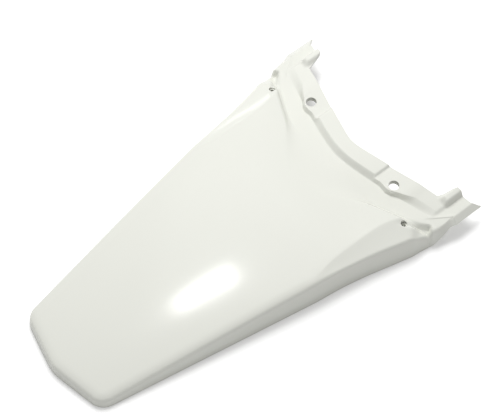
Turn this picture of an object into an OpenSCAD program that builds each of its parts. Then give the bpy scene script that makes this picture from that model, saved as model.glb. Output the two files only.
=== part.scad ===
// Tail fairing of a motorcycle: one moulded shell that covers the rear wheel behind the seat.
// X points forward, Y to the left and Z up. The origin lies midway between the two bolt holes,
// on the flat pads that the bolt heads press on.

/* [Bolts] */
// Distance between the two bolt holes, across the fairing
bolt_spacing = 150; // [130:1:170]
// Diameter of a bolt hole
bolt_hole_d = 13; // [8:0.5:13]
// Diameter of the boss under each bolt hole
boss_d = 19; // [16:0.5:20]
// Depth of that boss below the pad
boss_depth = 7; // [5:0.5:12]
// Distance between the two screw holes in the side pockets, across the fairing
screw_spacing = 240; // [232:1:244]
// Diameter of a screw hole
screw_hole_d = 4.5; // [3:0.5:5]
// Diameter of the round pocket that a screw head sits in
pocket_d = 10; // [8:0.5:11]
// Depth of the hollow in the scallop's front end, around that pocket
hollow_depth = 3.2; // [1:0.1:4]

/* [Shell] */
// Thickness of the moulded wall
wall = 2.6; // [2:0.1:3.5]
// Height of the bolt pads above the rim that the fairing stands on
rim_depth = 41; // [36:1:50]
// Height of the front edge of the lip under each ear above that rim
lip_rise = 24; // [18:1:28]

/* [Plan] */
// Distance from the bolt holes back to the point of the tail panel
tail_reach = 437; // [400:1:460]
// Half the width of the panel at the tail corners
tail_half = 67; // [60:0.5:75]
// Widening of the panel for each millimetre forward
taper = 0.166; // [0.15:0.001:0.18]
// Extra widening of each side towards the ears
ear_spread = 5; // [2:0.5:7]
// Slant of the two straight edges that meet in the tail's point
tail_slant = 0.22; // [0.1:0.01:0.3]
// Radius of the tail corners
tail_corner_r = 16; // [10:1:24]

/* [Heights] */
// Height of the front flange's middle above the bolt pads
flange_peak = 5; // [3:0.5:7]
// Height of the step from the panel up to the flange
step_height = 7.2; // [5:0.1:9]
// Height of the panel's highest point above the bolt pads
crest_peak = 6; // [3:0.5:8]
// Drop of the panel's middle from that point to the tail
tail_drop = 29; // [22:0.5:32]
// Drop of the panel's side edges from their highest point to the tail
edge_drop = 26.5; // [20:0.5:28]
// Fall of the front flange across its width, per square millimetre
flange_crown = 0.0007; // [0.0005:0.00001:0.0008]

/* [Side scallops] */
// Half width of the panel between the scallops
scallop_y = 105.5; // [98:0.5:106]
// Distance of the scallops' middle behind the bolt holes
scallop_mid = 88; // [84:1:92]
// Half the length of a scallop
scallop_half = 75; // [70:1:80]
// Extra slope of a scallop's face beside the panel
scallop_slope = 0.3; // [0.2:0.01:0.4]

/* [Ears] */
// Height of the ridge on an ear above the flange
ridge_height = 7; // [4:0.5:9]
// Reach of an ear ahead of the bolt holes
ear_reach = 56; // [50:1:60]
// Depth of an ear's flat shelf below the bolt pads
shelf_depth = 9.5; // [8:0.5:11]

/* [Stiffening ribs] */
// Distance of a rib from the middle
rib_y = 38; // [30:1:45]
// Depth of a rib below the panel
rib_depth = 7; // [4:0.5:9]
// Thickness of a rib
rib_t = 2.2; // [1.6:0.1:3]

/* [Hidden] */
bolt_y = bolt_spacing / 2;
side_start = 426;             // the side edges' straight taper starts this far behind the bolts
edge_half = 146;              // half the width of the panel at the ears
edge_round_end = 35;          // where the sides reach that width
zone_peak = flange_peak - step_height;
crest_x = 120;                // the panel's highest point lies this far behind the bolts
shoulder_x = 150;             // and that of its side edges this far
zone_drop = 6.8;              // fall across the width of the strip behind the step
shoulder_fall = 0.1;          // slope of the facet between that strip and the side wall
fold = 1.4;                   // half the width of a rounded fold line
step_run = 7;                 // length of the sloping step between panel and flange
step_widening = 2.5;          // extra length of that step beside the ears
pad_step_run = 3.2;           // length of that step behind a bolt pad
pad_bulge = 4;                // how far a pad bulges back round its bolt hole
pad_in = bolt_y - 23;         // a pad starts here, across the fairing
pad_fade = bolt_y + 11;       // and fades out between these two
pad_out = bolt_y + 30;
crease_run = 8;               // length of the fall behind the flange at its steep outer end
ridge_in = 117.5;             // a ridge's inner foot, top and outer foot, across the fairing
ridge_top_in = 124;
ridge_top_out = 129;
ridge_out = 134;
screw_x = -24;                // the screw holes lie this far ahead of the bolt holes
screw_y = screw_spacing / 2;
hollow_from = [screw_x, screw_y + 1];
hollow_run = [19, 11];        // from the screw to the far end of the hollow's line
profile_steps = 5;            // levels down the side wall
big = 20;                     // overlap of a cutter

function mix(a, b, t) = a + (b - a) * t;
function clamp(t) = max(0, min(1, t));
function line_ramp(a, b, t) = clamp((t - a) / (b - a));
function ramp(a, b, t) = let(u = line_ramp(a, b, t)) u * u * (3 - 2 * u);
function soft_abs(y, r) = sqrt(y * y + r * r) - r;

// Edge of the panel in plan: half its width at x, and the fillet at the tail corner
function taper_y(x) = tail_half + taper * (x + side_start);
function side_y(x) =
    mix(taper_y(x) + ear_spread * ramp(-90, 0, x), edge_half, ramp(-15, edge_round_end, x));
side_n = [-taper, 1] / norm([taper, 1]);
tail_n = [-1, tail_slant] / norm([1, tail_slant]);
corner_y = (taper_y(0) - taper * tail_reach) / (1 - taper * tail_slant);
corner = [-tail_reach + tail_slant * corner_y, corner_y];
corner_det = side_n[0] * tail_n[1] - side_n[1] * tail_n[0];
fillet = corner - tail_corner_r * [tail_n[1] - side_n[1], side_n[0] - tail_n[0]] / corner_det;
fillet_dir = (side_n + tail_n) / norm(side_n + tail_n);
fillet_mid = fillet + tail_corner_r * fillet_dir;
function on_fillet(d) = sqrt(max(0, tail_corner_r * tail_corner_r - d * d));
function edge_y(x) =
    x < fillet[0] + tail_corner_r * side_n[0] ? fillet[1] + on_fillet(x - fillet[0]) : side_y(x);
function tail_x(y) = let(a = min(abs(y), fillet_mid[1]))
    a < fillet[1] + tail_corner_r * tail_n[1] ? -tail_reach + tail_slant * sqrt(a * a + 36)
                                              : fillet[0] - on_fillet(a - fillet[1]);

// Lines across the fairing that its folds follow, as the x of each at y
function scallop_start_x(y) = -178 + 0.1 * soft_abs(y, 30);
function crease_x(y) = -77.5 + 0.5 * sqrt(y * y + 900);
function step_line_x(y) = -24.4 + 0.33 * soft_abs(y, 31.6) + 1.1 * max(0, abs(y) - ridge_out);
function bulge(y) = pad_bulge * (1 + cos(180 * clamp(abs(abs(y) - bolt_y) / 15))) / 2;
function step_x(y) = step_line_x(y) - bulge(y);
function in_pad(y) = ramp(pad_in - 1, pad_in + 1, abs(y)) * (1 - ramp(pad_fade, pad_out, abs(y)));
function step_top_x(y) =
    step_x(y) + mix(step_run + step_widening * ramp(85, 105, abs(y)), pad_step_run, in_pad(y));
function flange_front_x(y) = 0.3 * soft_abs(y, 10);
function front_x(y) = let(a = abs(y))
    mix(flange_front_x(a), ear_reach + 0.12 * (a - ridge_top_in), line_ramp(ridge_in - fold, ridge_top_in, a));

// Height of the outer face
function crest_z(x) =
    x > -crest_x ? mix(crest_peak, zone_peak, ramp(-crest_x, -20, x))
                 : crest_peak - tail_drop * pow((-crest_x - x) / (tail_reach - crest_x), 1.4);
function shoulder_z(x) =
    x > -shoulder_x ? mix(0, -7.5, line_ramp(-shoulder_x, -10, x))
                    : -edge_drop * pow((-shoulder_x - x) / (tail_reach - shoulder_x), 1.25);
function scallop_edge(x) = scallop_y + 15 * pow((x + scallop_mid) / scallop_half, 4);
function panel_z(x, y) =
    let(a = abs(y), e = side_y(x), s = min(scallop_edge(x), e),
        lift = scallop_slope * (a > s ? e - a : (e - s) * pow(a / s, 2)))
    mix(crest_z(x), shoulder_z(x), pow(a / e, 2)) + lift;
function facet_y(x) = 126 + 0.67 * x;
function zone_z(x, y) =
    zone_peak - zone_drop * ramp(0, 125, abs(y)) - shoulder_fall * max(0, abs(y) - facet_y(x));
function crease_blend(x, y) = let(half = mix(20, crease_run / 2, ramp(20, 80, abs(y))) + 6 * ramp(122, 140, abs(y)))
    line_ramp(-half, half, x - crease_x(y));
function flange_z(y) = mix(flange_peak - flange_crown * y * y, 0, in_pad(y));
function raised_z(y) = let(a = abs(y)) mix(flange_z(y), -shelf_depth, line_ramp(ridge_top_out, ridge_out, a));
function ridge_z(x, y) = let(a = abs(y))
    ridge_height * line_ramp(ridge_in, ridge_top_in, a) * (1 - line_ramp(ridge_top_out, ridge_out, a))
    * ramp(29, 36, x);
// The hollow round a screw pocket: it follows a line from the screw to the front end of the scallop
function hollow(x, y) =
    let(p = [x, abs(y)] - hollow_from, t = clamp(p * hollow_run / (hollow_run * hollow_run)))
    hollow_depth * (1 - ramp(0, 13, norm(p - t * hollow_run)));
function top_z(x, y, ridge = 1) =
    let(low = mix(panel_z(x, y), zone_z(x, y), crease_blend(x, y)) - hollow(x, y),
        lift = line_ramp(step_x(y), step_top_x(y), x))
    mix(low, raised_z(y) + ridge * ridge_z(x, y), lift);

// Ribs across the fairing: each is a line between two of the lines above
function spread(from, to, n, power = 1) = [for (k = [0 : n - 1]) [from, to, pow(k / n, power)]];
rib_lines = concat(
    spread(0, 1, 10, 1.5), spread(1, 2, 14, 0.8), spread(2, 3, 1), spread(3, 4, 4), spread(4, 5, 1),
    spread(5, 6, 1), spread(6, 7, 1), spread(7, 8, 5), [[8, 8, 0]]);
function guide_x(g, y) =
    g == 0 ? tail_x(y)
    : g == 1 ? scallop_start_x(y)
    : g == 2 ? crease_x(y) - crease_run / 2
    : g == 3 ? crease_x(y) + crease_run / 2
    : g == 4 ? step_x(y) - fold
    : g == 5 ? step_x(y) + min(fold, pad_step_run / 3)
    : g == 6 ? step_top_x(y) - min(fold, pad_step_run / 3)
    : g == 7 ? step_top_x(y) + fold
    : front_x(y);
function rib_x(r, y) = mix(guide_x(r[0], y), guide_x(r[1], y), r[2]);
function rib_end(r, y = 100, n = 7) = n == 0 ? y : rib_end(r, edge_y(rib_x(r, y)), n - 1);

// Lines along the fairing: one follows the scallop's edge and, ahead of it, the ear's inner foot
function line_y(x) = min(scallop_edge(max(x, -scallop_mid)), ridge_in - fold, edge_y(x) - 7);
function long_y(x) = x < -scallop_mid ? min(scallop_edge(x), edge_y(x) - 7) : line_y(x);
function rib_line(r, y = 100, n = 7) = n == 0 ? y : rib_line(r, long_y(rib_x(r, y)), n - 1);
inner_shares = [0, .12, .24, .34, .437, .456, .50, .545, .59, .635, .68, .735, .79, .84, .90];
outer_shares = [0, .22, .395, .573, .787, 1];
function half_y(r) = let(end = rib_end(r), mid = rib_line(r), out = mid + fold)
    concat([for (s = inner_shares) s * mid], [mid - fold],
           [for (s = outer_shares) mix(out, end, s)]);
function rib_points(r) = let(h = half_y(r), n = len(h))
    [for (k = [-(n - 1) : n - 1]) let(y = sign(k) * h[abs(k)]) [rib_x(r, y), y]];
ribs = [for (r = rib_lines) rib_points(r)];
last_rib = len(ribs) - 1;
last_line = len(ribs[0]) - 1;

// Side wall: it starts on the panel's edge, turns down on an arc and ends on the rim
function bottom_z(x) = mix(-rim_depth, -rim_depth + lip_rise, ramp(-8, 26, x));
function wall_angle(x) = mix(mix(84, 80, ramp(-120, -50, x)), 45, ramp(0, 32, x));
function arc_r(x) = mix(5, 3, ramp(-10, 32, x));
function edge_angle(x) = mix(mix(7, 24, ramp(-160, -120, x)), 6, ramp(-15, 30, x));
function slope_at(k, x) = mix(edge_angle(x), wall_angle(x), min(1, k / (profile_steps - 1)));
// Offset, height and slope at level k of the wall, for an edge at height z
function wall_point(k, x, z) =
    let(a0 = edge_angle(x), a = slope_at(k, x), r = arc_r(x),
        run = r * (sin(a) - sin(a0)), fall = r * (cos(a0) - cos(a)))
    k < profile_steps ? [run, z - fall, a]
                      : [run + (z - fall - bottom_z(x)) / tan(a), bottom_z(x), a];

// The panel's edge, from the front of the right side round the tail to the front of the left side
edge_ids = concat([for (i = [last_rib : -1 : 0]) [i, 0]], [for (j = [1 : last_line - 1]) [0, j]],
                  [for (i = [0 : last_rib]) [i, last_line]]);
last_edge = len(edge_ids) - 1;
function edge_point(b) = let(e = edge_ids[max(0, min(last_edge, b))]) ribs[e[0]][e[1]];
function edge_normal(b) = let(d = edge_point(b + 1) - edge_point(b - 1)) [-d[1], d[0]] / norm(d);
function lip_rake(x) = 1.15 * ramp(36, ear_reach, x);

function edge_level(b, k) =
    let(p = edge_point(b), n = edge_normal(b), w = wall_point(k, p[0], top_z(p[0], p[1])),
        q = p + w[0] * (n + [lip_rake(p[0]), 0]))
    [q[0], q[1], w[1], n[0] * sin(w[2]), n[1] * sin(w[2]), cos(w[2])];
function inward(q) = [q[0] - wall * q[3], q[1] - wall * q[4], q[2] - wall * q[5]];
function rim_inward(q) = let(s = wall / norm([q[3], q[4]])) [q[0] - s * q[3], q[1] - s * q[4], q[2]];

// Inner face: the same lines, one wall thickness further in
function steepness(x, y) = let(e = 0.5,
        gx = (top_z(x + e, y, 0) - top_z(x - e, y, 0)) / (2 * e),
        gy = (top_z(x, y + e, 0) - top_z(x, y - e, 0)) / (2 * e))
    min(1.6, sqrt(1 + gx * gx + gy * gy));
function under_z(x, y) = top_z(x, y, 0) - wall * steepness(x, y);

function is_edge(i, j) = i == 0 || j == 0 || j == last_line;
function edge_index(i, j) = j == 0 ? last_rib - i : j == last_line ? last_rib + last_line + i : last_rib + j;
outer_cap = [for (i = [0 : last_rib]) for (p = ribs[i]) [p[0], p[1], top_z(p[0], p[1])]];
inner_cap = [for (i = [0 : last_rib]) for (j = [0 : last_line]) let(p = ribs[i][j])
    is_edge(i, j) ? inward(edge_level(edge_index(i, j), 0)) : [p[0], p[1], under_z(p[0], p[1])]];
outer_wall = [for (k = [1 : profile_steps]) for (b = [0 : last_edge])
    let(q = edge_level(b, k)) [q[0], q[1], q[2]]];
inner_wall = [for (k = [1 : profile_steps]) for (b = [0 : last_edge])
    let(q = edge_level(b, k)) k == profile_steps ? rim_inward(q) : inward(q)];

side_count = len(outer_cap) + len(outer_wall);
function cap_id(i, j) = i * (last_line + 1) + j;
function wall_id(k, b) = k == 0 ? cap_id(edge_ids[b][0], edge_ids[b][1])
                                : len(outer_cap) + (k - 1) * (last_edge + 1) + b;
// Two triangles for a four-sided patch; flip turns the dividing line the other way
function patch(a, b, c, d, flip) = flip ? [[a, b, d], [b, c, d]] : [[a, b, c], [a, c, d]];
outer_faces = concat(
    [for (i = [0 : last_rib - 1]) for (j = [0 : last_line - 1])
        each patch(cap_id(i, j), cap_id(i, j + 1), cap_id(i + 1, j + 1), cap_id(i + 1, j),
                   j < last_line / 2)],
    [for (k = [0 : profile_steps - 1]) for (b = [0 : last_edge - 1])
        each patch(wall_id(k, b), wall_id(k + 1, b), wall_id(k + 1, b + 1), wall_id(k, b + 1),
                   b < last_edge / 2)]);
inner_faces = [for (f = outer_faces) [f[2], f[1], f[0]] + side_count * [1, 1, 1]];
function rim_faces(ids) = [for (k = [0 : len(ids) - 2])
    each patch(ids[k], ids[k] + side_count, ids[k + 1] + side_count, ids[k + 1], k < len(ids) / 2)];
bottom_rim = [for (b = [0 : last_edge]) wall_id(profile_steps, b)];
front_rim = concat([for (k = [profile_steps : -1 : 0]) wall_id(k, last_edge)],
                   [for (j = [last_line - 1 : -1 : 0]) cap_id(last_rib, j)],
                   [for (k = [1 : profile_steps]) wall_id(k, 0)]);

module shell()
    polyhedron(points = concat(outer_cap, outer_wall, inner_cap, inner_wall),
               faces = concat(outer_faces, inner_faces, rim_faces(bottom_rim), rim_faces(front_rim)));

// A stiffening rib under the panel: its top lies inside the wall and its foot fades out at both ends
rib_from = -310;
rib_to = -40;
seat_z = top_z(screw_x, screw_y) - 1.6;
boss_fall = 5;
module stiffening_rib(y) {
    stations = [for (k = [0 : 9]) mix(rib_from, rib_to, k / 9)];
    top = [for (x = stations) [x, top_z(x, y, 0) - wall / 2]];
    foot = [for (k = [9 : -1 : 0]) let(x = stations[k])
        [x, top_z(x, y, 0) - wall - 0.4 - rib_depth * sin(180 * clamp(k / 9))]];
    translate([0, y + rib_t / 2, 0]) rotate([90, 0, 0]) linear_extrude(height = rib_t)
        polygon(concat(top, foot));
}

module tail_fairing() color("ghostwhite")
    difference() {
        union() {
            shell();
            for (side = [-1, 1]) {
                translate([0, side * bolt_y, -boss_depth])
                    cylinder(d = boss_d, h = boss_depth - 0.7 * wall, $fn = 64);
                translate([screw_x, side * screw_y, seat_z - boss_fall])
                    cylinder(d = pocket_d, h = boss_fall + 1, $fn = 48);
                stiffening_rib(side * rib_y);
            }
        }
        for (side = [-1, 1]) {
            translate([0, side * bolt_y, -big]) cylinder(d = bolt_hole_d, h = 2 * big, $fn = 64);
            translate([screw_x, side * screw_y, seat_z]) cylinder(d = pocket_d - 2, h = big, $fn = 48);
            translate([screw_x, side * screw_y, seat_z - big])
                cylinder(d = screw_hole_d, h = 2 * big, $fn = 48);
        }
    }

tail_fairing();
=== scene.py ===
"""Tail fairing of a motorcycle: its moulded shell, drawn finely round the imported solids."""

import math

import bmesh
import bpy
from bpy.props import FloatProperty, FloatVectorProperty, IntProperty, PointerProperty
from mathutils import Matrix, Vector


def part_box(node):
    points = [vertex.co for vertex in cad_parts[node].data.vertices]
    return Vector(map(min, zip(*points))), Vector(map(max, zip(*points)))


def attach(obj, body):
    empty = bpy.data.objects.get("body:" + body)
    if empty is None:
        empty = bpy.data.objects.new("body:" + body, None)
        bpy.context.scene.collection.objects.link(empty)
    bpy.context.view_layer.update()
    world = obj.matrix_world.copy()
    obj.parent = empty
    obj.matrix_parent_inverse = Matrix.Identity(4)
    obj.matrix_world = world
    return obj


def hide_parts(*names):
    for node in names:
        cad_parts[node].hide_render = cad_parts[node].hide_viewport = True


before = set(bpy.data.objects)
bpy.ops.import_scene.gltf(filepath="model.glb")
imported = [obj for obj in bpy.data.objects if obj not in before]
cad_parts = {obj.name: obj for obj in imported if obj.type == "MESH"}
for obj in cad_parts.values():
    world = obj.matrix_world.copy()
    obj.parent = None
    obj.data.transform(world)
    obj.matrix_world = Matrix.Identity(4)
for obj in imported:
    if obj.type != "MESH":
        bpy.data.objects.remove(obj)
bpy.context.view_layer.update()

bl_info = {
    "name": "Tail fairing",
    "version": (1, 0, 0),
    "blender": (4, 5, 0),
    "location": "View3D > Sidebar > Fairing",
    "description": "Builds the moulded tail fairing of a motorcycle and a plain studio round it",
    "category": "Add Mesh",
}

MM = 0.001
RIM_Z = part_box("tail_fairing")[0][2]


# Small sums

def mix(a, b, t):
    return a + (b - a) * t


def clamp(t):
    return max(0.0, min(1.0, t))


def ramp(a, b, t):
    """Smooth rise from 0 at a to 1 at b."""
    u = clamp((t - a) / (b - a))
    return u * u * (3 - 2 * u)


def soft_ramp(a, b, t):
    """A straight rise from 0 at a to 1 at b with rounded ends."""
    return (ramp(a, b, t) + clamp((t - a) / (b - a))) / 2


def soft_abs(y, r):
    return math.sqrt(y * y + r * r) - r


def soft_min(p, q, r):
    return (p + q - math.sqrt((p - q) ** 2 + r * r)) / 2


def linear(value):
    """One sRGB channel, 0 to 1, as linear light."""
    return value / 12.92 if value <= 0.04045 else ((value + 0.055) / 1.055) ** 2.4


def colour(hex_code):
    """A colour written as six sRGB hex digits, as linear red, green, blue and alpha."""
    return tuple(linear(int(hex_code[i:i + 2], 16) / 255) for i in (0, 2, 4)) + (1.0,)


# Sizes that the panel's operators read

def length(name, description, value):
    """A size that is written here in millimetres and kept in metres."""
    return FloatProperty(name=name, description=description, default=value * MM,
                         subtype="DISTANCE", unit="LENGTH")


class FairingShellSizes(bpy.types.PropertyGroup):
    wall: length("Wall", "Thickness of the moulded wall", 2.6)
    tail_reach: length("Tail reach", "From the bolt holes back to the point of the tail", 437)
    tail_half: length("Tail half width", "Half the panel's width at the tail corners", 67)
    corner_r: length("Corner radius", "Radius of the tail corners", 16)
    taper: FloatProperty(name="Taper", description="Widening of the panel for its length", default=0.166)
    tail_slant: FloatProperty(name="Tail slant", description="Slant of the tail's edges", default=0.22)
    ear_spread: length("Ear spread", "Extra widening of each side towards the ears", 5)
    flange_peak: length("Flange height", "Height of the flange's middle above the bolt pads", 5)
    step_height: length("Step height", "Height of the step up to the flange", 7.2)
    crest_peak: length("Crest height", "Height of the panel's highest point", 6)
    tail_drop: length("Tail drop", "Drop of the panel's middle to the tail", 29)
    edge_drop: length("Edge drop", "Drop of the panel's side edges to the tail", 26.5)
    scallop_y: length("Scallop line", "Half width of the panel between the scallops", 105.5)
    ridge_height: length("Ridge height", "Height of the ridge on an ear", 7)
    ear_reach: length("Ear reach", "Reach of an ear ahead of the bolt holes", 56)
    shelf_depth: length("Shelf depth", "Depth of an ear's shelf below the bolt pads", 9.5)
    lip_rise: length("Lip rise", "Height of the lip under an ear above the rim", 24)
    hollow_depth: length("Hollow depth", "Depth of the hollow at a scallop's front end", 3.2)
    edge_round: length("Edge rounding", "Rounding of the rim and of the holes' edges", 0.45)


class FairingHoleSizes(bpy.types.PropertyGroup):
    bolt_spacing: length("Bolt spacing", "Distance between the two bolt holes", 150)
    bolt_hole: length("Bolt hole", "Diameter of a bolt hole", 13)
    boss: length("Boss", "Diameter of the boss under a bolt hole", 19)
    boss_depth: length("Boss depth", "Depth of that boss below the pad", 7)
    screw_x: length("Screw place", "Distance of the screw holes behind the bolt holes", 24)
    screw_spacing: length("Screw spacing", "Distance between the two screw holes", 240)
    screw_hole: length("Screw hole", "Diameter of a screw hole", 4.5)
    pocket: length("Pocket", "Diameter of the round pocket for a screw head", 8)
    screw_boss: length("Screw boss", "Diameter of the boss under a screw hole", 10)
    pocket_depth: length("Pocket depth", "Depth of that pocket", 3.3)


class FairingRibSizes(bpy.types.PropertyGroup):
    rib_y: length("Rib place", "Distance of a rib from the middle", 38)
    rib_depth: length("Rib depth", "Depth of a rib below the panel", 7)
    rib_t: length("Rib thickness", "Thickness of a rib", 2.2)
    start: length("Rib start", "Rear end of the ribs behind the bolt holes", 310)
    end: length("Rib end", "Front end of the ribs behind the bolt holes", 40)
    steps: IntProperty(name="Steps", description="Faces along a rib", default=60, min=10)


class FairingLook(bpy.types.PropertyGroup):
    plastic: FloatVectorProperty(name="Plastic", description="Colour of the moulded plastic",
                                 subtype="COLOR", size=4, default=colour("E7E8E0"))
    paper: FloatVectorProperty(name="Paper", description="Colour of the studio's paper floor",
                               subtype="COLOR", size=4, default=colour("FCFCFC"))
    paper_bounce: FloatVectorProperty(name="Paper's bounce", description="Colour that the floor throws back",
                                      subtype="COLOR", size=4, default=colour("F2F2F2"))
    paper_glow: FloatProperty(name="Paper's glow", default=0.2,
                              description="Light that comes through the floor near the fairing")
    key_power: FloatProperty(name="Key light", description="Power of the soft box overhead", default=18.5)
    glint_power: FloatProperty(name="Glint", default=1.4,
                               description="Power of the lamp that the panel mirrors")
    strip_power: FloatProperty(name="Strip", default=0.1,
                               description="Power of the strip that a scallop mirrors")
    room: FloatProperty(name="Room light", description="Strength of the light from all round", default=0.4)


# Form of the shell

class Form:
    """The fairing's outer face in millimetres: +X forward, +Y left, origin between the bolt holes.

    Both sides are alike, so most lines go by the distance from the middle, abs(y). The first two numbers
    in a ramp are the places, in millimetres, between which the form changes from one shape to the next.
    """

    taper_from = -426.0                    # where the panel's half width is the tail's
    edge_half = 146.0                      # half the width of the panel at the ears
    tail_round = 6.0                       # rounding of the tail's point
    crest_x, shoulder_x = 120.0, 150.0     # the highest points of the panel and of its side edges
    crest_bow, shoulder_bow = 1.4, 1.25    # how much later than evenly they fall towards the tail
    front_drop = 7.5                       # fall of the side edges towards the front
    scallop_mid, scallop_half, scallop_slope = 88.0, 75.0, 0.30
    scallop_flare = 15.0                   # how far its upper edge has moved out at both ends
    scallop_dish, scallop_soft = 0.25, 1.2                     # hollow of its face, rounding of its edge
    zone_half, zone_drop = 125.0, 6.8      # half width of the front strip and its fall from the middle
    facet_start, facet_slant = 126.0, 0.67                     # inner line of the facet outside the strip
    facet_fall = 0.1                       # the facet's slope
    crease_start, crease_slant, crease_bend = -62.5, 0.5, 30.0     # line between panel and front strip
    crease_reach = 6.0                     # how far the crease's finer rows reach to each side of it
    groove_depth, groove_power = 2.2, 1.4
    hollow_run = Vector((22, 20))          # from a screw to the far end of the line its hollow follows
    hollow_start = 1.0                     # how far ahead of the screw that line starts
    hollow_gain = 2.9                      # depth at the far end as a multiple of the depth at the screw
    hollow_inner, hollow_outer = (9.0, 5.0), 5.0               # width of its sides; the inner one narrows
    ledge_height, ledge_run = 0.8, 1.5
    step_start, step_slant, step_bend = -24.4, 0.33, 31.6      # foot of the step up to the flange
    step_turn = 1.1                        # its slant outside an ear's ridge
    step_run, step_widening, pad_step_run = 7.0, 2.5, 3.2      # how much length the step takes
    pad_soft, pad_bulge, pad_bulge_half = 1.5, 4.0, 15.0
    flange_crown = 0.0007
    front_slant, front_bend = 0.3, 10.0    # line of the flange's front edge
    ridge = (117.5, 124.0, 129.0, 134.0)   # inner foot, top and outer foot of an ear's ridge
    ear_y, ear_side, ear_slant = 116.1, 7.9, 0.12              # an ear's start, inner side and slanted end
    lip_rake = 1.15
    wall_angles = (84.0, 80.0, 45.0)       # slope of the side wall in degrees: rear, scallops, lip
    edge_angles = (24.0, 6.0)              # slope that its round shoulder starts with: elsewhere, lip
    shoulder_radii = (7.4, 5.0, 3.0)       # radius of the shoulder: rear, scallops, lip
    fall_depth, fall_width = 1.2, 7.0      # the panel's last bend round the rear
    thickest = 1.6                         # the most that a slope adds to the wall, measured straight down
    rear_guide, rear_slant = -178.0, 0.1   # row of the grid behind the scallops
    widest_y = 170.0                       # outside the fairing at every x

    def __init__(self, sizes, holes):
        for name in sizes.__annotations__:
            value = getattr(sizes, name)
            setattr(self, name, value if name in ("taper", "tail_slant") else value / MM)
        self.bolt_y = holes.bolt_spacing / MM / 2
        self.holes = ((0, self.bolt_y, holes.bolt_hole / MM / 2),
                      (-holes.screw_x / MM, holes.screw_spacing / MM / 2, holes.pocket / MM / 2))
        self.rim_z = RIM_Z / MM
        self.zone_peak = self.flange_peak - self.step_height
        self.pad_in, self.pad_fade, self.pad_out = self.bolt_y - 23, self.bolt_y + 11, self.bolt_y + 30
        self.hollow_from = Vector((self.holes[1][0] + self.hollow_start, self.holes[1][1]))
        self.set_corner()

    # outline of the panel

    def taper_y(self, x):
        return self.tail_half + self.taper * (x - self.taper_from)

    def side_y(self, x):
        spread = self.taper_y(x) + self.ear_spread * ramp(-90, 0, x)
        return mix(spread, self.edge_half, ramp(-15, 35, x))

    def set_corner(self):
        """Where the arc of the tail corner touches the side and the tail."""
        side = Vector((-self.taper, 1)).normalized()
        tail = Vector((-1, self.tail_slant)).normalized()
        y = (self.taper_y(0) - self.taper * self.tail_reach) / (1 - self.taper * self.tail_slant)
        corner = Vector((-self.tail_reach + self.tail_slant * y, y))
        cross = side.x * tail.y - side.y * tail.x
        inset = Vector((tail.y - side.y, side.x - tail.x)) / cross
        self.arc = corner - self.corner_r * inset
        self.arc_side_x = self.arc.x + self.corner_r * side.x
        self.arc_tail_y = self.arc.y + self.corner_r * tail.y
        self.arc_mid_y = self.arc.y + self.corner_r * (side + tail).normalized().y

    def on_arc(self, d):
        return math.sqrt(max(0.0, self.corner_r ** 2 - d * d))

    def edge_y(self, x):
        if x < self.arc_side_x:
            return self.arc.y + self.on_arc(x - self.arc.x)
        return self.side_y(x)

    def tail_x(self, y):
        a = min(abs(y), self.arc_mid_y)
        if a < self.arc_tail_y:
            return -self.tail_reach + self.tail_slant * math.sqrt(a * a + self.tail_round ** 2)
        return self.arc.x - self.on_arc(a - self.arc.y)

    def front_x(self, y):
        a = abs(y)
        ear = self.ear_reach + self.ear_slant * (a - self.ridge[1])
        flange = self.front_slant * soft_abs(a, self.front_bend)
        return mix(flange, ear, clamp((a - self.ear_y) / self.ear_side))

    # lines on the panel

    def crease_x(self, y):
        return self.crease_start + self.crease_slant * soft_abs(y, self.crease_bend)

    def scallop_edge(self, x):
        return self.scallop_y + self.scallop_flare * ((x + self.scallop_mid) / self.scallop_half) ** 4

    def facet_y(self, x):
        return self.facet_start + self.facet_slant * x

    def in_pad(self, y):
        a, soft = abs(y), self.pad_soft
        return ramp(self.pad_in - soft, self.pad_in + soft, a) * (1 - ramp(self.pad_fade, self.pad_out, a))

    def step_x(self, y):
        a = abs(y)
        line = self.step_start + self.step_slant * soft_abs(y, self.step_bend)
        line += self.step_turn * max(0.0, a - self.ridge[3])
        away = clamp(abs(a - self.bolt_y) / self.pad_bulge_half)
        return line - self.pad_bulge * (1 + math.cos(math.pi * away)) / 2

    def step_top_x(self, y):
        run = self.step_run + self.step_widening * ramp(85, 105, abs(y))
        return self.step_x(y) + mix(run, self.pad_step_run, self.in_pad(y))

    # heights

    def crest_z(self, x):
        if x > -self.crest_x:
            return mix(self.crest_peak, self.zone_peak, ramp(-self.crest_x, -20, x))
        along = (-self.crest_x - x) / (self.tail_reach - self.crest_x)
        return self.crest_peak - self.tail_drop * along ** self.crest_bow

    def shoulder_z(self, x):
        if x > -self.shoulder_x:
            return -self.front_drop * clamp((x + self.shoulder_x) / (self.shoulder_x - 10))
        along = (-self.shoulder_x - x) / (self.tail_reach - self.shoulder_x)
        return -self.edge_drop * along ** self.shoulder_bow

    def panel_z(self, x, y):
        """Height of the crowned panel, which turns up on the scallop's slope inside its upper edge."""
        a, e = abs(y), self.side_y(x)
        s = min(self.scallop_edge(x), e)
        down = (e - a) / max(e - s, 1.0)
        face = (e - a) * (1 + self.scallop_dish * (min(down, 1.0) - 1))
        lift = self.scallop_slope * soft_min(face, (e - s) * (a / s) ** 2, self.scallop_soft)
        return mix(self.crest_z(x), self.shoulder_z(x), (a / e) ** 2) + lift

    def zone_z(self, x, y):
        """Height of the front strip between the crease and the step, and of the facet outside it."""
        beyond = max(0.0, abs(y) - self.facet_y(x))
        return self.zone_peak - self.zone_drop * ramp(0, self.zone_half, abs(y)) - self.facet_fall * beyond

    def crease_blend(self, x, y):
        """0 on the panel and 1 on the front strip; the bend is widest in the middle."""
        half = mix(20, 4, ramp(20, 80, abs(y))) + 6 * ramp(122, 140, abs(y))
        return soft_ramp(-half, half, x - self.crease_x(y))

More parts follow.
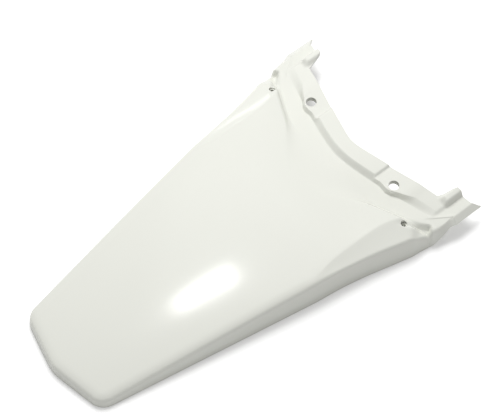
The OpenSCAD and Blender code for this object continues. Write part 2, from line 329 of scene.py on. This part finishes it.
    def hollow(self, x, y):
        """Depth of the hollow round a screw pocket, which deepens along a line to a sharp end by the ear."""
        way = self.hollow_run.normalized()
        place = Vector((x, abs(y))) - self.hollow_from
        along, across = place.dot(way) / self.hollow_run.length, way.x * place.y - way.y * place.x
        depth = self.hollow_depth * mix(1, self.hollow_gain, clamp(along))
        side = (ramp(0, mix(*self.hollow_inner, clamp(along)), -across) if across < 0
                else ramp(0, self.hollow_outer, across) * (1 - ramp(0.25, 0.6, along)))
        return depth * (1 - side) * ramp(-0.35, 0.1, along) * (1 - ramp(0.97, 1.1, along))

    def groove(self, x, y):
        """Depth of the soft valley along the crease, which fades out towards the panel's middle."""
        near = 1 - clamp(abs(x - self.crease_x(y)) / self.crease_reach)
        return self.groove_depth * near ** self.groove_power * ramp(50, 110, abs(y))

    def edge_fall(self, x, y):
        """How far the panel bends down over its last few millimetres, behind the scallops."""
        inside = min(self.edge_y(x) - abs(y), x - self.tail_x(y))
        return self.fall_depth * (1 - clamp(inside / self.fall_width)) ** 2 * (1 - ramp(-170, -130, x))

    def ledge(self, x, y):
        """The fine ledge that parts the front strip and an ear's shelf from the facet outside them."""
        beyond = abs(y) - self.facet_y(x)
        return self.ledge_height * ramp(0, self.ledge_run, beyond) * ramp(0, 6, x) * (1 - ramp(28, 34, x))

    def raised_z(self, x, y, ridge):
        """Height of the flange, its bolt pads and the ears, whose ridge can be left out."""
        a = abs(y)
        flange = mix(self.flange_peak - self.flange_crown * a * a, 0, self.in_pad(y))
        foot_in, top_in, top_out, foot_out = self.ridge
        shelf = mix(flange, -self.shelf_depth, ramp(top_out, foot_out, a))
        crown = ramp(foot_in, top_in, a) * (1 - ramp(top_out, foot_out, a))
        return shelf + ridge * self.ridge_height * crown * ramp(29, 36, x)

    def top_z(self, x, y, ridge=1):
        low = mix(self.panel_z(x, y), self.zone_z(x, y), self.crease_blend(x, y))
        low -= self.hollow(x, y) + self.groove(x, y) + self.edge_fall(x, y)
        rise = soft_ramp(self.step_x(y), self.step_top_x(y), x)
        return mix(low, self.raised_z(x, y, ridge), rise) - self.ledge(x, y)

    def depth(self, x, y):
        """From the outer face straight down to the inner one, which doesn't follow the ears' ridges."""
        slope = math.hypot(*(self.top_z(x + dx, y + dy, 0) - self.top_z(x - dx, y - dy, 0)
                             for dx, dy in ((0.5, 0), (0, 0.5))))
        return self.top_z(x, y) - self.top_z(x, y, 0) + self.wall * min(self.thickest, math.hypot(1, slope))

    # side wall

    def wall_angle(self, x):
        rear, scallop, lip = self.wall_angles
        return math.radians(mix(mix(rear, scallop, ramp(-120, -50, x)), lip, ramp(0, 32, x)))

    def edge_angle(self, x):
        return math.radians(mix(*self.edge_angles, ramp(-15, 30, x)))

    def shoulder_r(self, x):
        rear, scallop, lip = self.shoulder_radii
        return mix(mix(rear, scallop, ramp(-160, -120, x)), lip, ramp(-10, 32, x))

    def wall_place(self, share, x, z):
        """Offset, height and slope at a share of the wall: the first half is its round shoulder."""
        a0, a1, r = self.edge_angle(x), self.wall_angle(x), self.shoulder_r(x)
        a = mix(a0, a1, min(1.0, share * 2))
        run, fall = r * (math.sin(a) - math.sin(a0)), r * (math.cos(a0) - math.cos(a))
        bottom = mix(self.rim_z, self.rim_z + self.lip_rise, ramp(-8, 26, x))
        down = max(0.0, share * 2 - 1) * (z - fall - bottom)
        return run + down / math.tan(a1), z - fall - down, a

    def set_back(self, share, x):
        """How far the wall behind an ear's lip lies inside the lip, which starts at an upright edge."""
        edge_x = 32 - 8 * share
        return min(1.0, share * 4) * ramp(0, edge_x - 2, x) * (1 - ramp(edge_x - 1.2, edge_x, x))

    # rows of the grid

    def guide_x(self, g, y):
        """Lines across the fairing, from the tail to the front edge."""
        return (self.tail_x(y) if g == 0
                else self.rear_guide + self.rear_slant * soft_abs(y, self.crease_bend) if g == 1
                else self.crease_x(y) - self.crease_reach if g == 2
                else self.crease_x(y) + self.crease_reach if g == 3
                else self.step_x(y) - 1 if g == 4
                else self.step_top_x(y) + 1 if g == 5
                else self.front_x(y))

    def row_x(self, row, y):
        g, share = row
        return self.guide_x(g, y) if share == 0 else mix(self.guide_x(g, y), self.guide_x(g + 1, y), share)

    def middle_y(self, x):
        """The line that follows the scallop's upper edge and then the inner side of the ear."""
        return min(self.scallop_edge(x), self.ear_y if x > -self.scallop_mid else self.edge_half)

    def row_ends(self, row):
        """Where a row crosses that line and where it ends, on the panel's edge."""
        end = self.arc_mid_y if row == (0, 0) else self.settle(row, self.edge_y, self.arc_mid_y)
        return min(self.settle(row, self.middle_y, 0.0), LINE_SHARE * end), end

    def settle(self, row, line, low):
        """Where a row of the grid meets a line along the fairing, found by halving."""
        high = self.widest_y
        for _ in range(HALVINGS):
            y = (low + high) / 2
            low, high = (y, high) if line(self.row_x(row, y)) > y else (low, y)
        return y


# The grid: rows between each guide line and the next, and how they crowd towards a guide line.
ROW_STEPS = (40, 44, 14, 14, 20, 24)
ROW_POWERS = {0: 1.5, 1: 0.8}
# Columns: start, end and number, as shares of the way to the middle line, then the number outside it.
INNER_COLUMNS = ((0, 0.43, 22), (0.43, 0.81, 44), (0.81, 1, 14))
OUTER_COLUMNS = 26
WALL_STEPS = 16
LINE_SHARE = 0.94      # the middle line comes no closer to the panel's edge than this share of the way
HALVINGS = 28


def grid_rows():
    rows = []
    for g, steps in enumerate(ROW_STEPS):
        power = ROW_POWERS.get(g, 1.0)
        rows += [(g, (k / steps) ** power) for k in range(steps)]
    return rows + [(len(ROW_STEPS), 0)]


def grid_columns():
    """Each column as its share of the way to the scallop line, and from there to the edge."""
    inner = [(mix(a, b, k / steps), 0) for a, b, steps in INNER_COLUMNS for k in range(steps)]
    return inner + [(1, k / OUTER_COLUMNS) for k in range(OUTER_COLUMNS + 1)]


def outer_face(form):
    """A grid laid on the panel, with its edge extruded down as the side wall."""
    rows, columns = grid_rows(), grid_columns()
    last, half = len(rows) - 1, len(columns) - 1
    mesh = bmesh.new()
    bmesh.ops.create_grid(mesh, x_segments=last, y_segments=2 * half, size=1)
    station = mesh.verts.layers.int.new("station")
    inward = mesh.verts.layers.float_vector.new("inward")
    ends = [form.row_ends(row) for row in rows]
    edge = {}
    for v in mesh.verts:
        i, j = round((v.co.x + 1) / 2 * last), round((v.co.y + 1) / 2 * 2 * half) - half
        (to_line, beyond), (mid, end) = columns[abs(j)], ends[i]
        y = math.copysign(mix(mid * to_line, end, beyond), j)
        x = form.row_x(rows[i], y)
        v.co = (x, y, form.top_z(x, y))
        v[inward] = (0, 0, -form.depth(x, y))
        v[station] = -1
        if i == 0 or abs(j) == half:
            v[station] = last - i if j == -half else last + half + j if i == 0 else last + 2 * half + i
            edge[v[station]] = v
    lower_wall(mesh, form, edge, station, inward)
    for x, y, r in form.holes:
        for side in (-1, 1):
            open_hole(mesh, form, Vector((x, side * y)), r)
    return mesh, inward


def lower_wall(mesh, form, edge, station, inward):
    """Extrudes the panel's edge down, level by level, round its shoulder and on to the rim."""
    start = {b: v.co.copy() for b, v in edge.items()}
    outward = {}
    for b in start:
        along = start[min(len(start) - 1, b + 1)] - start[max(0, b - 1)]
        outward[b] = Vector((-along.y, along.x, 0)).normalized()
    border = [e for e in mesh.edges if e.is_boundary and all(v[station] >= 0 for v in e.verts)]
    for level in range(WALL_STEPS + 1):
        if level == 0:
            verts = list(edge.values())
        else:
            made = bmesh.ops.extrude_edge_only(mesh, edges=border)["geom"]
            border = [g for g in made if isinstance(g, bmesh.types.BMEdge)]
            verts = [g for g in made if isinstance(g, bmesh.types.BMVert)]
        for v in verts:
            b = v[station]
            at, out = start[b], outward[b]
            run, z, a = form.wall_place(level / WALL_STEPS, at.x, at.z)
            run -= form.set_back(level / WALL_STEPS, at.x)
            rake = Vector((form.lip_rake * ramp(36, form.ear_reach, at.x), 0, 0))
            v.co = at + run * (out + rake)
            v.co.z = z
            v[inward] = -form.wall * (out if level == WALL_STEPS
                                      else out * math.sin(a) + Vector((0, 0, math.cos(a))))


def open_hole(mesh, form, centre, radius):
    """Takes out the faces inside a round hole and draws their border on to its circle."""
    inside = [f for f in mesh.faces if f.normal.z > 0.5
              and (f.calc_center_median().xy - centre).length < radius]
    border = {e for f in inside for e in f.edges if any(g not in inside for g in e.link_faces)}
    for v in {v for e in border for v in e.verts}:
        place = centre + (v.co.xy - centre).normalized() * radius
        v.co = (place.x, place.y, form.top_z(place.x, place.y))
    bmesh.ops.delete(mesh, geom=inside, context="FACES")


def thicken(mesh, inward):
    """Gives the face its wall: a second face inside the first, joined to it along every edge."""
    made = bmesh.ops.extrude_face_region(mesh, geom=mesh.faces[:], use_keep_orig=True)["geom"]
    for v in (g for g in made if isinstance(g, bmesh.types.BMVert)):
        v.co += v[inward]


# Meshes and objects

SMOOTH_BELOW = math.radians(40)        # edges that bend less are shaded smooth
ROUND_ABOVE = math.radians(50)         # and those that bend more than this are rounded
RING_SIDES = 64


def to_object(mesh, name, material):
    """A bmesh in millimetres as an object in metres."""
    bmesh.ops.recalc_face_normals(mesh, faces=mesh.faces)
    bmesh.ops.scale(mesh, vec=(MM, MM, MM), verts=mesh.verts)
    for face in mesh.faces:
        face.smooth = True
    for e in mesh.edges:
        e.smooth = e.calc_face_angle(0) < SMOOTH_BELOW
    data = bpy.data.meshes.new(name)
    mesh.to_mesh(data)
    mesh.free()
    data.materials.append(material)
    piece = bpy.data.objects.new(name, data)
    bpy.context.scene.collection.objects.link(piece)
    return piece


def to_piece(mesh, name, context):
    """The same for a piece of the fairing, in its plastic and on the root body."""
    piece = to_object(mesh, name, plastic_of(context))
    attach(piece, "root")
    return piece


def ring(mesh, inner, outer, x, y, low, high):
    """A bush round an upright hole, spun from its section."""
    corners = [mesh.verts.new((x + r, y, z))
               for r, z in ((inner, low), (outer, low), (outer, high), (inner, high))]
    section = [mesh.edges.new((corners[k], corners[(k + 1) % 4])) for k in range(4)]
    bmesh.ops.spin(mesh, geom=corners + section, cent=(x, y, 0), axis=(0, 0, 1), angle=math.tau,
                   steps=RING_SIDES, use_merge=True)


def round_edges(piece, width):
    """Rounds the rim, the front edge and the edges of the holes, and keeps the result."""
    soft = piece.modifiers.new("edges", "BEVEL")
    soft.width, soft.segments, soft.limit_method = width, 2, "ANGLE"
    soft.angle_limit = ROUND_ABOVE
    graph = bpy.context.evaluated_depsgraph_get()
    kept = bpy.data.meshes.new_from_object(piece.evaluated_get(graph))
    piece.modifiers.clear()
    piece.data = kept


# Materials

def add_node(tree, kind, settings=None, **links):
    """A node of the given kind, with its settings, values and links."""
    node = tree.nodes.new(kind)
    for name, value in (settings or {}).items():
        setattr(node, name, value)
    for name, value in links.items():
        socket = node.inputs[int(name[1:])] if name[0] == "_" else node.inputs[name.replace("_", " ")]
        if isinstance(value, bpy.types.NodeSocket):
            tree.links.new(value, socket)
        else:
            socket.default_value = value
    return node


def new_material(name):
    made = bpy.data.materials.new(name)
    made.use_nodes = True
    made.node_tree.nodes.clear()
    return made, made.node_tree


def moulded_polypropylene(look):
    """Injection-moulded polypropylene, coloured through: a hard gloss from the polished mould."""
    made, tree = new_material("moulded_polypropylene")
    place = add_node(tree, "ShaderNodeTexCoord").outputs["Object"]
    # A large thin panel never comes out quite flat, which breaks up the edges of reflections.
    sink = add_node(tree, "ShaderNodeTexNoise", Vector=place, Scale=16.0, Detail=1.0)
    wave = add_node(tree, "ShaderNodeBump", Strength=0.25, Distance=0.0008, Height=sink.outputs["Fac"])
    shader = add_node(tree, "ShaderNodeBsdfPrincipled", Base_Color=look.plastic, Roughness=0.12, IOR=1.49,
                      Normal=wave.outputs["Normal"])
    add_node(tree, "ShaderNodeOutputMaterial", Surface=shader.outputs["BSDF"])
    return made


def matt_paper(look):
    """Matt studio paper, lit from behind away from the fairing, and duller in what it throws back."""
    made, tree = new_material("matt_paper")
    path = add_node(tree, "ShaderNodeLightPath").outputs
    seen = add_node(tree, "ShaderNodeMath", {"operation": "MAXIMUM"},
                    _0=path["Is Camera Ray"], _1=path["Is Transmission Ray"])
    tone = add_node(tree, "ShaderNodeMix", {"data_type": "RGBA"}, Factor=seen.outputs[0])
    tone.inputs[6].default_value, tone.inputs[7].default_value = look.paper_bounce, look.paper
    shader = add_node(tree, "ShaderNodeBsdfDiffuse", Color=tone.outputs[2])
    place = add_node(tree, "ShaderNodeTexCoord").outputs["Object"]
    away = add_node(tree, "ShaderNodeVectorMath", {"operation": "LENGTH"}, _0=place).outputs["Value"]
    glow = add_node(tree, "ShaderNodeMapRange", Value=away, From_Min=0.6, From_Max=1.5,
                    To_Min=look.paper_glow, To_Max=1.0)
    shown = add_node(tree, "ShaderNodeMath", {"operation": "MULTIPLY"},
                     _0=seen.outputs[0], _1=glow.outputs[0])
    backlight = add_node(tree, "ShaderNodeEmission", Strength=shown.outputs[0])
    both = add_node(tree, "ShaderNodeAddShader", _0=shader.outputs[0], _1=backlight.outputs[0])
    add_node(tree, "ShaderNodeOutputMaterial", Surface=both.outputs[0])
    return made


# Operators

def plastic_of(context):
    made = bpy.data.materials.get("moulded_polypropylene")
    return made or moulded_polypropylene(context.scene.fairing_look)


def make_form(context):
    return Form(context.scene.fairing_shell, context.scene.fairing_holes)


class FAIRING_OT_shell(bpy.types.Operator):
    """Build the moulded shell: panel, side walls, stepped flange and ears"""

    bl_idname = "fairing.build_shell"
    bl_label = "Moulded shell"

    def execute(self, context):
        mesh, inward = outer_face(make_form(context))
        thicken(mesh, inward)
        piece = to_piece(mesh, "fairing_shell", context)
        round_edges(piece, context.scene.fairing_shell.edge_round)
        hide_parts("tail_fairing")
        return {"FINISHED"}


class FAIRING_OT_bosses(bpy.types.Operator):
    """Build the bosses under the bolt holes and the screw holes"""

    bl_idname = "fairing.build_bosses"
    bl_label = "Bosses"

    wall_share = 0.7                            # how far up the wall the bolts' bosses reach
    screw_boss_height = 5.0

    def execute(self, context):
        form, sizes = make_form(context), context.scene.fairing_holes
        mesh = bmesh.new()
        (x, y, r), (screw_x, screw_y, _) = form.holes
        seat = form.top_z(screw_x, screw_y) - sizes.pocket_depth / MM
        for side in (-1, 1):
            ring(mesh, r, sizes.boss / MM / 2, x, side * y,
                 -sizes.boss_depth / MM, -form.wall * self.wall_share)
            ring(mesh, sizes.screw_hole / MM / 2, sizes.screw_boss / MM / 2, screw_x, side * screw_y,
                 seat - self.screw_boss_height, seat)
        to_piece(mesh, "fairing_bosses", context)
        return {"FINISHED"}


class FAIRING_OT_ribs(bpy.types.Operator):
    """Build the stiffening ribs under the panel"""

    bl_idname = "fairing.build_ribs"
    bl_label = "Stiffening ribs"

    least = 0.4                                 # a rib's depth below the wall at its ends

    def execute(self, context):
        form, sizes = make_form(context), context.scene.fairing_ribs
        mesh = bmesh.new()
        for side in (-1, 1):
            y, half = side * sizes.rib_y / MM, sizes.rib_t / MM / 2
            low, high = [], []
            for k in range(sizes.steps + 1):
                share = k / sizes.steps
                x = mix(-sizes.start, -sizes.end, share) / MM
                top = form.top_z(x, y, 0) - form.wall / 2
                fall = form.wall / 2 + self.least + sizes.rib_depth / MM * math.sin(math.pi * share)
                high.append(mesh.verts.new((x, y - half, top)))
                low.append(mesh.verts.new((x, y - half, top - fall)))
            side_face = [mesh.faces.new((low[k], low[k + 1], high[k + 1], high[k]))
                         for k in range(sizes.steps)]
            made = bmesh.ops.extrude_face_region(mesh, geom=side_face, use_keep_orig=True)["geom"]
            bmesh.ops.translate(mesh, vec=(0, 2 * half, 0),
                                verts=[g for g in made if isinstance(g, bmesh.types.BMVert)])
        to_piece(mesh, "stiffening_ribs", context)
        return {"FINISHED"}


class FAIRING_OT_stage(bpy.types.Operator):
    """Build the paper floor, the soft boxes, the room's light and the camera"""

    bl_idname = "fairing.build_stage"
    bl_label = "Stage"

    centre = Vector((-150.0, 9.9, 0.0)) * MM    # the point that the camera looks at
    azimuth, elevation = -39.0, 60.4            # in degrees
    distance, lamp_distance = 1.857, 1.6        # of the camera and the lamps from there, in metres
    lens, sensor = 115.9, 36                    # in millimetres
    floor_half = 20000                          # in millimetres

    def execute(self, context):
        look = context.scene.fairing_look
        self.make_floor(look)
        # Each lamp: its direction from the fairing, its size in metres and its power.
        self.make_lamp("overhead_soft_box", (0.2, 0.32, 0.93), (0.8, 0.8), look.key_power, mirrored=False)
        self.make_lamp("glint_lamp", (0.025, 0.258, 0.966), (0.2, 0.12), look.glint_power)
        self.make_lamp("glint_strip", (0.345, 0.89, 0.30), (0.1, 0.05), look.strip_power)
        self.make_room(context, look)
        self.make_camera(context)
        context.scene.view_settings.view_transform = "Standard"
        return {"FINISHED"}

    def make_floor(self, look):
        mesh = bmesh.new()
        bmesh.ops.create_grid(mesh, x_segments=1, y_segments=1, size=self.floor_half,
                              matrix=Matrix.Translation((0, 0, RIM_Z / MM)))
        floor = to_object(mesh, "paper_floor", matt_paper(look))

    def make_lamp(self, name, towards, size, power, mirrored=True):
        """A rectangular lamp; the large one lights the fairing without a mirror image in its gloss."""
        data = bpy.data.lights.new(name, "AREA")
        data.shape, data.energy = "RECTANGLE", power
        data.size, data.size_y = size
        lamp = bpy.data.objects.new(name, data)
        back = Vector(towards).normalized()
        lamp.location = self.centre + back * self.lamp_distance
        lamp.rotation_euler = (-back).to_track_quat("-Z", "Y").to_euler()
        lamp.visible_glossy = mirrored
        bpy.context.scene.collection.objects.link(lamp)

    def make_room(self, context, look):
        world = context.scene.world or bpy.data.worlds.new("room")
        context.scene.world = world
        world.use_nodes = True
        tree = world.node_tree
        tree.nodes.clear()
        path = add_node(tree, "ShaderNodeLightPath").outputs
        seen = add_node(tree, "ShaderNodeMath", {"operation": "MAXIMUM"},
                        _0=path["Is Camera Ray"], _1=path["Is Transmission Ray"])
        lit = add_node(tree, "ShaderNodeBackground", Color=(1, 1, 1, 1), Strength=look.room)
        white = add_node(tree, "ShaderNodeBackground", Color=(1, 1, 1, 1), Strength=1.0)
        both = add_node(tree, "ShaderNodeMixShader",
                        _0=seen.outputs[0], _1=lit.outputs[0], _2=white.outputs[0])
        add_node(tree, "ShaderNodeOutputWorld", Surface=both.outputs[0])

    def make_camera(self, context):
        a, e = math.radians(self.azimuth), math.radians(self.elevation)
        back = Vector((math.sin(a) * math.cos(e), -math.cos(a) * math.cos(e), math.sin(e)))
        data = bpy.data.cameras.new("camera")
        data.lens, data.sensor_width = self.lens, self.sensor
        camera = bpy.data.objects.new("camera", data)
        camera.location = self.centre + back * self.distance
        camera.rotation_euler = (-back).to_track_quat("-Z", "Y").to_euler()
        context.scene.collection.objects.link(camera)
        context.scene.camera = camera


class FAIRING_PT_panel(bpy.types.Panel):
    """Buttons that build the fairing and its stage"""

    bl_label = "Tail fairing"
    bl_idname = "FAIRING_PT_panel"
    bl_space_type = "VIEW_3D"
    bl_region_type = "UI"
    bl_category = "Fairing"

    def draw(self, context):
        for operator in BUILD_ORDER:
            self.layout.operator(operator.bl_idname)


BUILD_ORDER = (FAIRING_OT_shell, FAIRING_OT_bosses, FAIRING_OT_ribs, FAIRING_OT_stage)
GROUPS = {"fairing_shell": FairingShellSizes, "fairing_holes": FairingHoleSizes,
          "fairing_ribs": FairingRibSizes, "fairing_look": FairingLook}


def register():
    for cls in (*GROUPS.values(), *BUILD_ORDER, FAIRING_PT_panel):
        bpy.utils.register_class(cls)
    for name, group in GROUPS.items():
        setattr(bpy.types.Scene, name, PointerProperty(type=group))


def unregister():
    for name in GROUPS:
        delattr(bpy.types.Scene, name)
    for cls in (FAIRING_PT_panel, *reversed(BUILD_ORDER), *GROUPS.values()):
        bpy.utils.unregister_class(cls)


def main():
    register()
    bpy.ops.fairing.build_shell()
    bpy.ops.fairing.build_bosses()
    bpy.ops.fairing.build_ribs()
    bpy.ops.fairing.build_stage()


if __name__ == "__main__":
    main()
